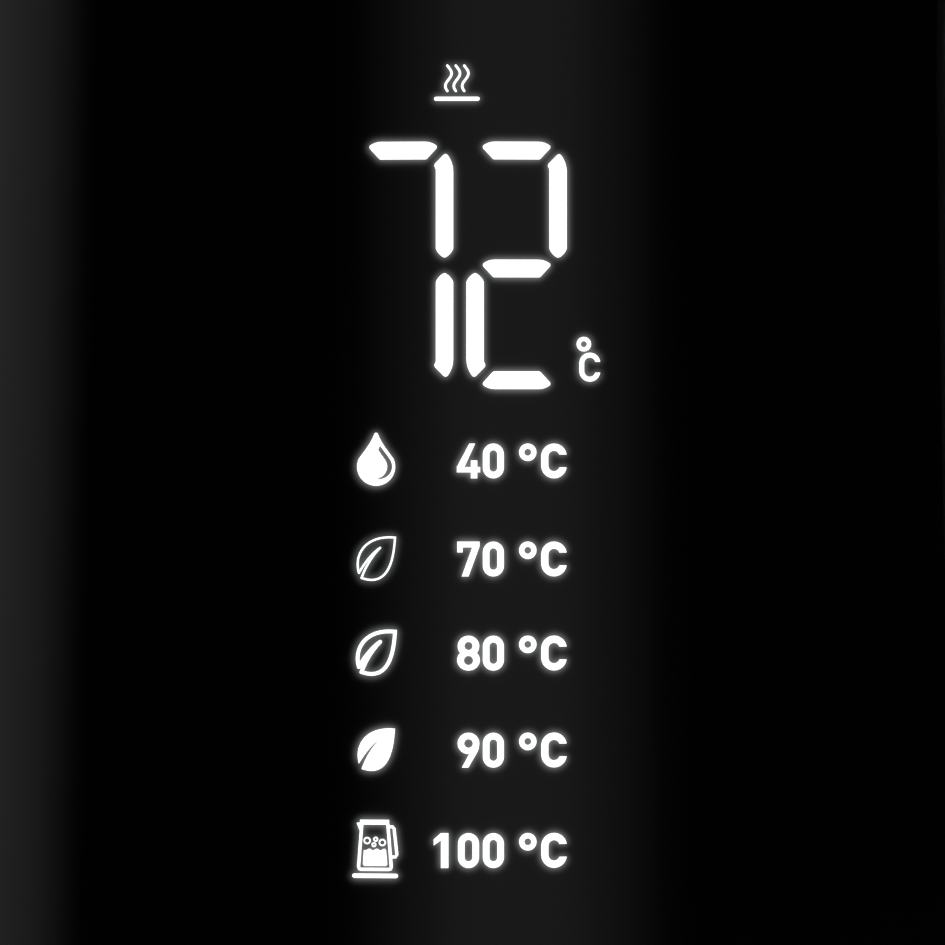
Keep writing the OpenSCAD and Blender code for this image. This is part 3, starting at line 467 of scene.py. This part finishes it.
def disc(name, inner, outer, z, material, sides=128):
    """A flat ring or disc of floor."""
    turns = [2 * math.pi * i / sides for i in range(sides)]
    ring = [(math.cos(turn), math.sin(turn)) for turn in turns]
    points = [(r * c, r * s, z) for r in (inner, outer) for c, s in ring]
    if inner == 0:
        points, faces = points[sides:], [list(range(sides))]
    else:
        faces = [[i, (i + 1) % sides, (i + 1) % sides + sides, i + sides] for i in range(sides)]
        faces = [face[::-1] for face in faces]
    mesh = bpy.data.meshes.new(name)
    mesh.from_pydata(points, [], faces)
    mesh.materials.append(material)
    made = bpy.data.objects.new(name, mesh)
    bpy.context.scene.collection.objects.link(made)
    return made


def area_light(name, place, target, size, energy):
    data = bpy.data.lights.new(name, "AREA")
    data.shape, data.size, data.size_y = "RECTANGLE", size[0], size[1]
    data.energy = energy
    made = bpy.data.objects.new(name, data)
    made.location = place
    made.rotation_euler = (Vector(target) - Vector(place)).to_track_quat("-Z", "Y").to_euler()
    bpy.context.scene.collection.objects.link(made)
    return made


def card(name, azimuth, elevation, size, strength, falloff):
    """A dim reflector at an angle round the kettle, seen only in glossy surfaces."""
    material = bpy.data.materials.new(name)
    material.use_nodes = True
    tree = material.node_tree
    tree.nodes.clear()
    out = tree.nodes.new("ShaderNodeOutputMaterial")
    glow = tree.nodes.new("ShaderNodeEmission")
    where = tree.nodes.new("ShaderNodeTexCoord")
    parts = tree.nodes.new("ShaderNodeSeparateXYZ")
    tree.links.new(where.outputs["Generated"], parts.inputs["Vector"])
    curve = tree.nodes.new("ShaderNodeFloatCurve")
    points = curve.mapping.curves[0].points
    for i, (x, y) in enumerate(falloff):
        if i < 2:
            points[i].location = (x, y)
        else:
            points.new(x, y)
    curve.mapping.update()
    tree.links.new(parts.outputs["X"], curve.inputs["Value"])
    scale = tree.nodes.new("ShaderNodeMath")
    scale.operation = "MULTIPLY"
    scale.inputs[1].default_value = strength
    tree.links.new(curve.outputs["Value"], scale.inputs[0])
    tree.links.new(scale.outputs["Value"], glow.inputs["Strength"])
    tree.links.new(glow.outputs["Emission"], out.inputs["Surface"])
    w, h = size[0] / 2, size[1] / 2
    mesh = bpy.data.meshes.new(name)
    mesh.from_pydata([(-w, 0, -h), (w, 0, -h), (w, 0, h), (-w, 0, h)], [], [(0, 1, 2, 3)])
    mesh.materials.append(material)
    made = bpy.data.objects.new(name, mesh)
    a, e = math.radians(azimuth), math.radians(elevation)
    back = Vector((math.sin(a) * math.cos(e), -math.cos(a) * math.cos(e), math.sin(e)))
    made.location = Vector((0, 0, DISPLAY_Z)) + back * CARD_DISTANCE
    made.rotation_euler = (0, 0, a)
    bpy.context.scene.collection.objects.link(made)
    made.visible_camera = made.visible_diffuse = made.visible_shadow = False
    made.visible_transmission = made.visible_volume_scatter = False
    return made


def make_world():
    """Pale for the camera and for soft fill; dark near the horizon where polished surfaces look."""
    world = bpy.data.worlds.new("studio")
    bpy.context.scene.world = world
    world.use_nodes = True
    tree = world.node_tree
    tree.nodes.clear()
    out = tree.nodes.new("ShaderNodeOutputWorld")
    mix = tree.nodes.new("ShaderNodeMixShader")
    soft = tree.nodes.new("ShaderNodeBackground")
    soft.inputs["Color"].default_value = (0.86, 0.87, 0.88, 1)
    soft.inputs["Strength"].default_value = 0.62
    shine = tree.nodes.new("ShaderNodeBackground")
    path = tree.nodes.new("ShaderNodeLightPath")
    where = tree.nodes.new("ShaderNodeTexCoord")
    parts = tree.nodes.new("ShaderNodeSeparateXYZ")
    ramp = tree.nodes.new("ShaderNodeMapRange")
    ramp.interpolation_type = "SMOOTHSTEP"
    for key, value in (("From Min", 0.16), ("From Max", 0.8), ("To Min", 0.004), ("To Max", 0.75)):
        ramp.inputs[key].default_value = value
    tree.links.new(where.outputs["Generated"], parts.inputs["Vector"])
    tree.links.new(parts.outputs["Z"], ramp.inputs["Value"])
    tree.links.new(ramp.outputs["Result"], shine.inputs["Strength"])
    tree.links.new(path.outputs["Is Glossy Ray"], mix.inputs["Fac"])
    tree.links.new(soft.outputs["Background"], mix.inputs[1])
    tree.links.new(shine.outputs["Background"], mix.inputs[2])
    tree.links.new(mix.outputs["Shader"], out.inputs["Surface"])


make_camera()
make_world()

floor_look = Look("floor", (0.72, 0.72, 0.715), 0.6)
floor_look.tint(floor_look.noise(6, 4.0), 0.985, 1.01)
disc("floor_near", 0, FLOOR_R, FLOOR_Z, floor_look.material)
far_look = Look("far_floor", (0.72, 0.72, 0.715), 0.6, Emission_Color=(0.86, 0.87, 0.88, 1.0))
far_look.tint(far_look.noise(6, 4.0), 0.985, 1.01)
away = far_look.node("ShaderNodeVectorMath", operation="LENGTH")
far_look.link(far_look.place(), away.inputs[0])
far_look.spread(away.outputs["Value"], 0.0, HORIZON_GLOW, "Emission Strength", FLOOR_R, HORIZON_R)
far_floor = disc("floor_far", FLOOR_R, 40.0, FLOOR_Z, far_look.material)
far_floor.visible_glossy = far_floor.visible_diffuse = False

area_light("key", (-1.5, -1.3, 1.9), (0, 0, 0.1), (1.4, 1.4), 34)
area_light("fill", (1.9, -0.9, 1.6), (0, 0, 0.1), (1.6, 1.2), 14)
area_light("back", (0.5, 2.0, 1.5), (0, 0, 0.12), (1.8, 0.9), 22)
area_light("top", (0, 0.2, 2.2), (0, 0, 0), (1.2, 1.2), 12)

# Brightness across a reflector: (place from one side to the other, strength), ends first.
FRONT = [(0.0, 0.0), (1.0, 0.0), (0.14, 0.05), (0.21, 0.2), (0.33, 0.55), (0.5, 0.97),
         (0.7, 0.55), (0.82, 0.2), (0.9, 0.04)]
STRIP = [(0.0, 0.0), (1.0, 0.0), (0.15, 0.8), (0.5, 1.0), (0.85, 0.8)]
SIDE = [(0.0, 1.0), (1.0, 0.0), (0.6, 0.86), (0.8, 0.46), (0.93, 0.12)]
card("front_card", 7, 0, (4.2, 2.6), 0.25, FRONT)
card("left_card", -108, 0, (2.2, 2.6), 0.21, SIDE)
card("rear_left_card", -152, 8, (0.9, 2.8), 0.75, STRIP)
card("rear_right_card", 150, 8, (0.7, 2.8), 0.6, STRIP)

bpy.context.scene.view_settings.view_transform = "Standard"
